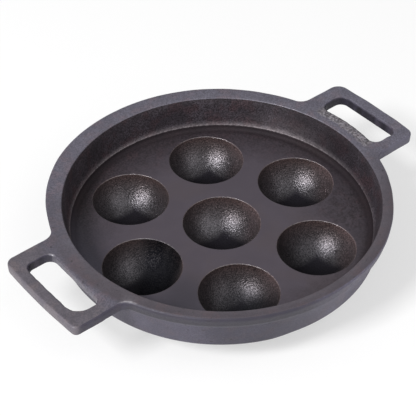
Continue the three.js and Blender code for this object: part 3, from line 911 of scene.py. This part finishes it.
# The finger slots. Away from the lip their walls are blotched with black, and the right lip has painted shade
# below.
blotch_size, blotch_most, blotch_above = 4.5 * MM, 0.9, 5
blotch_middle, blotch_swing = 0.5, 1.3
lip_shade_most, lip_shade_rise = 0.95, 0.45
slot_glint, glint_above = 0.9, 7
ground_above, ground_part = 3, 0.6
slots = []
for side in (1, -1):
    slot = finger_slot(side)
    lip_parts = [lip_part(side, soft) for *_, soft in slot]
    blotches = []
    for part, (x, y, *_) in zip(lip_parts, slot):
        blotch = blotch_middle + blotch_swing * noise.noise(Vector((x, y, 0)) / blotch_size)
        blotches.append((1 - part) * clamped(blotch_most, blotch))
    rings = []
    for step in range(slot_top_steps + slot_low_steps + 2):
        points = slot_level(slot, side, step)
        # Bare and bright near the spots of wear and painted glints on the left handle.
        bare_and_glint = bare_glint_share(points, slot_glint if 0 < step < glint_above else 0.0)
        # Painted shade under the right lip, black where it turns away from the light.
        under_lip_shade = clamped(lip_shade_most, lip_shade_rise * (step - 1)) if side > 0 else 0.0
        blotched = 1.0 if step > blotch_above else 0.0
        blotch_and_shade = [under_lip_shade * part + blotched * blotch for part, blotch in zip(lip_parts, blotches)]
        rings.append(lay_ring(bm, points, bare_and_glint, blotch_and_shade))
    for step, (upper_ring, lower_ring) in enumerate(zip(rings, rings[1:])):
        on_top = [step < ground_above or part > ground_part for part in lip_parts]
        skin(bm, upper_ring, lower_ring, [wall_top if top else wall_cast for top in on_top])
    slots.append(rings)
fill_flat(bm, outline[0], inside[-1], slots[0][0], slots[1][0], finish=wall_top)

# The undersides of the handles, with a small fillet to the wall.
under_radius = outer_radius(handle_under)
under_edge = handle_outline(1, *levels[-1][1:])
handle_points = len(under_edge)
under_steps = 28
under_fillet_steps = 5
under_fillet_share = 0.45


def fillet_marks(points):
    """Direction and size of the fillet under a handle at points along its root."""
    marks = []
    for x, y in points:
        size = min(under_fillet, under_fillet_share * (math.hypot(x, y) - under_radius))
        marks.append((math.degrees(math.atan2(y, x)), size))
    return marks


front_root = fillet_marks(under_edge[1:root_steps])
back_root = fillet_marks(under_edge[-root_steps:-1])
front_end, back_end = front_root[-1][0], back_root[0][0]
root_marks = front_root
for i in range(1, under_steps):
    root_marks.append((front_end + (back_end - front_end) * i / under_steps, under_fillet))
root_marks += back_root
under_ring = []
for number, side in enumerate((1, -1)):
    start = number * (handle_points + rim_steps - 1)
    rim_start = start + handle_points
    edge = outline[-1][start:rim_start]
    rows = []
    for step in range(under_fillet_steps + 1):
        turned_by = math.radians(90 * step / under_fillet_steps)
        row = []
        for angle, size in root_marks[::side]:
            z = handle_under - size * (1 - math.cos(turned_by))
            radius = outer_radius(z) + size * (1 - math.sin(turned_by))
            x, y = side * radius * math.cos(math.radians(angle)), radius * math.sin(math.radians(angle))
            grown = 1 + swell(x, y) / radius
            row.append((x * grown, y * grown, z))
        rows.append([edge[0]] + lay_ring(bm, row) + [edge[-1]])
    for upper_row, lower_row in zip(rows, rows[1:]):
        skin(bm, upper_row, lower_row, wall_cast, closed=False)
    fill_flat(bm, edge + rows[0][-2:0:-1], slots[number][-1], finish=wall_cast)
    under_ring += rows[-1] + outline[-1][rim_start:rim_start + rim_steps - 1]

# The outside below the handles: height, how far the parting line stands out, how bare it is, and how much of
# the mould's shift shows.
parting_z = handle_under - under_fillet - 0.15 * MM
parting_ridge = 0.12 * MM
below_handles = (
    (parting_z, parting_ridge, 0.3, 0.0), (parting_z - 0.5 * MM, 0.0, 0.0, 0.25),
    (parting_z - 1.5 * MM, 0.0, 0.0, 0.6), ((parting_z + seam_z) / 2, 0.0, 0.0, 1.0), (seam_z, 0.0, 0.0, 1.0))
for z, ridge, wear_and_glint, shifted_by in below_handles:
    radius = outer_radius(z) + ridge
    points = []
    for vert in under_ring:
        out = vert.co.xy.normalized()
        here = out * (radius + (1 - shifted_by) * swell(*(out * radius)) - shifted_by * set_back(*out))
        points.append((here.x, here.y, z))
    lower_ring = lay_ring(bm, points, wear_and_glint)
    skin(bm, under_ring, lower_ring, wall_cast)
    under_ring = lower_ring
fill_flat(bm, under_ring, inside[0], finish=wall_cast)


def cut_at_seams(bm, clear_outer):
    """Cuts the casting through at the two planes where the grips begin."""
    on_plane = 1e-7
    for side in (1, -1):
        everything = bm.verts[:] + bm.edges[:] + bm.faces[:]
        bmesh.ops.bisect_plane(bm, geom=everything, dist=on_plane, plane_co=(side * grip_seam, 0, 0),
                               plane_no=(side, 0, 0), clear_outer=clear_outer)


def cap_cuts(bm):
    """Closes the flats that the cuts leave open."""
    bmesh.ops.holes_fill(bm, edges=[e for e in bm.edges if e.is_boundary], sides=0)


whole = bm.copy()
cut_at_seams(bm, True)
cap_cuts(bm)
wall = make_piece(bm, "wall", [cast_inside, ground_top, cast_skin])
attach(wall, "root")
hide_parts("side_wall")

# The grips: the outer part of each loop handle, of the same iron and cast with the wall.
# Each meets its two roots end to end, with no joint, and keeps the sand's skin below and on its sides.
cut_at_seams(whole, False)
between = [vert for vert in whole.verts if abs(vert.co.x) < grip_seam - SAME_POINT]
bmesh.ops.delete(whole, geom=between, context="VERTS")
cap_cuts(whole)
grips = make_piece(whole, "grips", [cast_inside, ground_top, cast_skin])
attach(grips, "root")
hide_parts("handle_right", "handle_left")

# The stage: a white paper floor that keeps the pan's soft shadow, with a white surround and two softboxes.
# To the camera alone the paper shows part of plain white, because the photo's background is pure white.
paper_half = 6.0
paper_drop = 0.2 * MM
paper_white = 0.95
shown_white = 0.55
floor_mesh = bpy.data.meshes.new("stage_floor")
paper_corners = [(x * paper_half, y * paper_half, 0) for x, y in ((-1, -1), (1, -1), (1, 1), (-1, 1))]
floor_mesh.from_pydata(paper_corners, [], [(0, 1, 2, 3)])
stage_floor = put_in("stage_floor", floor_mesh)
stage_floor.location.z = -paper_drop
paper = bpy.data.materials.new("white_paper")
paper.use_nodes = True
paper_nodes = paper.node_tree.nodes
sheet = paper_nodes["Principled BSDF"]
sheet.inputs["Base Color"].default_value = (paper_white, paper_white, paper_white, 1)
sheet.inputs["Roughness"].default_value = 0.9
glow = paper_nodes.new("ShaderNodeEmission")
seen = paper_nodes.new("ShaderNodeMath")
seen.operation = "MULTIPLY"
seen.inputs[1].default_value = shown_white
lift = paper_nodes.new("ShaderNodeMixShader")
surface = paper_nodes["Material Output"].inputs["Surface"]
camera_ray = paper_nodes.new("ShaderNodeLightPath").outputs["Is Camera Ray"]
for source, target in (
        (camera_ray, seen.inputs[0]), (seen.outputs[0], lift.inputs[0]), (sheet.outputs[0], lift.inputs[1]),
        (glow.outputs[0], lift.inputs[2]), (lift.outputs[0], surface)):
    paper.node_tree.links.new(source, target)
floor_mesh.materials.append(paper)

world = bpy.data.worlds.new("white_surround")
bpy.context.scene.world = world
world.use_nodes = True
surround = world.node_tree.nodes["Background"]
surround.inputs["Color"].default_value = (1, 1, 1, 1)
surround.inputs["Strength"].default_value = 0.36


def softbox(name, direction, distance, width, power):
    """A square soft lamp that faces the middle of the pan."""
    lamp = bpy.data.lights.new(name, "AREA")
    lamp.shape = "RECTANGLE"
    lamp.size, lamp.size_y = width, width
    lamp.energy = power
    lamp_object = put_in(name, lamp)
    lamp_object.location = Vector(direction).normalized() * distance + Vector((0, 0, floor_z))
    lamp_object.rotation_euler = Vector(direction).to_track_quat("Z", "Y").to_euler()


softbox("key", (-0.722, -0.026, 0.693), distance=2.6, width=0.7, power=62)
softbox("fill", (0.24, -0.66, 0.712), distance=3.0, width=2.4, power=20)

# The camera stands where the photograph was taken from: a long lens, above the front left of the pan.
# Its place, aim and lens were fitted to the edges of the rim, the floor and the cups.
azimuth, elevation, roll = math.radians(-40.035), math.radians(41.901), math.radians(0.156)
camera_distance = 0.84564
aim = Vector((0.002218, 0.014124, 0.025696))
level_part = math.cos(elevation)
backward = Vector((math.sin(azimuth) * level_part, -math.cos(azimuth) * level_part, math.sin(elevation)))
level_right = Vector((math.cos(azimuth), math.sin(azimuth), 0))
rolled_right = math.cos(roll) * level_right + math.sin(roll) * backward.cross(level_right)
upward = backward.cross(rolled_right)
camera = put_in("camera", bpy.data.cameras.new("camera"))
camera.data.lens = 112.085
camera.data.sensor_width = 36
camera.matrix_world = Matrix((rolled_right, upward, backward)).transposed().to_4x4()
camera.location = aim + camera_distance * backward
bpy.context.scene.camera = camera
bpy.context.scene.view_settings.view_transform = "Standard"
